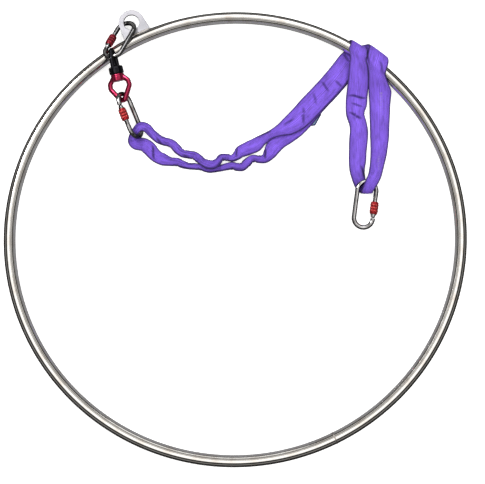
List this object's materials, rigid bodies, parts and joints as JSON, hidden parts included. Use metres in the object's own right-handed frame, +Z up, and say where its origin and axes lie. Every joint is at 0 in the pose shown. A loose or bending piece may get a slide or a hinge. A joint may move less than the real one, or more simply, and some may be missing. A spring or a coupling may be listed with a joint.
{
  "type": "aerial hoop rigging set",
  "caption": "Steel aerial hoop with a welded tab, screw-gate carabiners, a ball-bearing swivel and a round sling draped over its tube.",
  "frame": {"origin": "on the floor below the middle of the hoop", "axes": "+Z up, square to the floor; +Y from the hoop's lowest side towards the side with the tab and the draped sling; +X to the right seen from above"},
  "size_m": [0.9748, 0.9814, 0.0665],
  "materials": {
    "polished_tube": "bright satin stainless, fine scratches round the tube",
    "inner_steel": "plain mill finish",
    "weld_bead": "rippled bead with a little heat tint",
    "tab_steel": "matt blasted steel, worn at the hole",
    "carabiner_steel": "bright plated steel",
    "pin_steel": "turned pin",
    "spring_wire": "drawn wire",
    "dark_red_sleeve": "knurled dark red anodised",
    "red_sleeve": "knurled red anodised",
    "black_swivel": "gloss black anodised",
    "red_swivel": "gloss crimson anodised",
    "bearing_steel": "ground and oiled",
    "cage_brass": "stamped",
    "seal_rubber": "matt",
    "sling_cover": "woven violet polyester with lengthwise ribs",
    "sling_core": "bundled undyed yarn",
    "sling_label": "plain violet label flap"
  },
  "bodies": {
    "hoop": {"hoop_tube": "polished_tube", "joint_sleeve": "inner_steel", "butt_weld": "weld_bead", "tab": "tab_steel", "tab_welds": "weld_bead", "tab_carabiner_frame": "carabiner_steel", "tab_carabiner_gate_pin": "pin_steel", "swivel_top_eye": "black_swivel", "retaining_ring": "bearing_steel", "bearing_lower_race": "bearing_steel", "sling_cover_run": "sling_cover", "sling_core_run": "sling_core", "sling_label": "sling_label"},
    "tab_gate": {"tab_carabiner_gate": "carabiner_steel", "tab_carabiner_latch_pin": "pin_steel", "tab_carabiner_gate_spring": "spring_wire"},
    "tab_plunger": {"tab_carabiner_plunger": "pin_steel"},
    "tab_sleeve": {"tab_carabiner_sleeve": "dark_red_sleeve"},
    "swivel_lower": {"swivel_bottom_bow": "red_swivel", "swivel_shaft": "bearing_steel", "shaft_pin": "pin_steel", "bearing_upper_race": "bearing_steel", "dust_seal": "seal_rubber", "sling_carabiner_frame": "carabiner_steel", "sling_carabiner_gate_pin": "pin_steel", "sling_cover_swivel_end": "sling_cover", "sling_core_swivel_end": "sling_core"},
    "ball_cage": {"bearing_balls": "bearing_steel", "bearing_cage": "cage_brass"},
    "sling_gate": {"sling_carabiner_gate": "carabiner_steel", "sling_carabiner_latch_pin": "pin_steel", "sling_carabiner_gate_spring": "spring_wire"},
    "sling_plunger": {"sling_carabiner_plunger": "pin_steel"},
    "sling_sleeve": {"sling_carabiner_sleeve": "red_sleeve"},
    "sling_end": {"sling_cover_free_end": "sling_cover", "sling_core_free_end": "sling_core"},
    "anchor_carabiner": {"anchor_carabiner_frame": "carabiner_steel", "anchor_carabiner_gate_pin": "pin_steel"},
    "anchor_gate": {"anchor_carabiner_gate": "carabiner_steel", "anchor_carabiner_latch_pin": "pin_steel", "anchor_carabiner_gate_spring": "spring_wire"},
    "anchor_plunger": {"anchor_carabiner_plunger": "pin_steel"},
    "anchor_sleeve": {"anchor_carabiner_sleeve": "red_sleeve"}
  },
  "joints": [
    {"name": "tab_gate_hinge", "type": "hinge", "parent": "hoop", "child": "tab_gate", "pos_m": [-0.273, 0.40931, 0.03262], "axis": [0.2923, -0.4429, -0.8476], "range_deg": [0, 4], "stiffness_Nm_per_rad": 0.15, "springref_deg": -28.65},
    {"name": "tab_plunger_slide", "type": "slide", "parent": "tab_gate", "child": "tab_plunger", "axis": [0.3819, 0.8666, -0.3211], "range_m": [0, 0.00011], "deforming": ["tab_carabiner_gate_spring"]},
    {"name": "tab_sleeve_slide", "type": "slide", "parent": "tab_gate", "child": "tab_sleeve", "axis": [-0.3819, -0.8666, 0.3211], "range_m": [-0.014, 0]},
    {"name": "swivel_spin", "type": "hinge", "parent": "hoop", "child": "swivel_lower", "pos_m": [-0.25075, 0.34593, 0.04486], "axis": [0.2223, -0.9531, -0.2053], "continuous": true},
    {"name": "ball_cage_spin", "type": "hinge", "parent": "hoop", "child": "ball_cage", "pos_m": [-0.25075, 0.34593, 0.04486], "axis": [0.2223, -0.9531, -0.2053], "continuous": true},
    {"name": "sling_gate_hinge", "type": "hinge", "parent": "swivel_lower", "child": "sling_gate", "pos_m": [-0.2409, 0.26997, 0.04803], "axis": [0.8021, 0.2112, 0.5586], "range_deg": [0, 25], "stiffness_Nm_per_rad": 0.15, "springref_deg": -28.65},
    {"name": "sling_plunger_slide", "type": "slide", "parent": "sling_gate", "child": "sling_plunger", "axis": [0.3731, -0.9075, -0.1927], "range_m": [0, 0.000659], "deforming": ["sling_carabiner_gate_spring"]},
    {"name": "sling_sleeve_slide", "type": "slide", "parent": "sling_gate", "child": "sling_sleeve", "axis": [-0.3731, 0.9075, 0.1927], "range_m": [-0.014, 0]},
    {"name": "sling_end_lift", "type": "hinge", "parent": "hoop", "child": "sling_end", "pos_m": [0.287, 0.215, 0.007], "axis": [-1, 0, 0], "range_deg": [0, 60]},
    {"name": "anchor_swing", "type": "hinge", "parent": "sling_end", "child": "anchor_carabiner", "pos_m": [0.27946, 0.09207, 0.01443], "axis": [0.0892, -0.1173, 0.9891], "range_deg": [-30, 20]},
    {"name": "anchor_gate_hinge", "type": "hinge", "parent": "anchor_carabiner", "child": "anchor_gate", "pos_m": [0.29222, 0.03931, 0.00702], "axis": [0.0892, -0.1173, 0.9891], "range_deg": [0, 25], "stiffness_Nm_per_rad": 0.15, "springref_deg": -28.65},
    {"name": "anchor_plunger_slide", "type": "slide", "parent": "anchor_gate", "child": "anchor_plunger", "axis": [0.1367, 0.9851, 0.1045], "range_m": [0, 0.000659], "deforming": ["anchor_carabiner_gate_spring"]},
    {"name": "anchor_sleeve_slide", "type": "slide", "parent": "anchor_gate", "child": "anchor_sleeve", "axis": [-0.1367, -0.9851, -0.1045], "range_m": [-0.014, 0]}
  ],
  "couplings": [
    {"joint": "tab_plunger_slide", "follows": "tab_gate_hinge", "m_per_rad": 0.0015},
    {"joint": "ball_cage_spin", "follows": "swivel_spin", "ratio": 0.5},
    {"joint": "sling_plunger_slide", "follows": "sling_gate_hinge", "m_per_rad": 0.0015},
    {"joint": "anchor_plunger_slide", "follows": "anchor_gate_hinge", "m_per_rad": 0.0015}
  ]
}
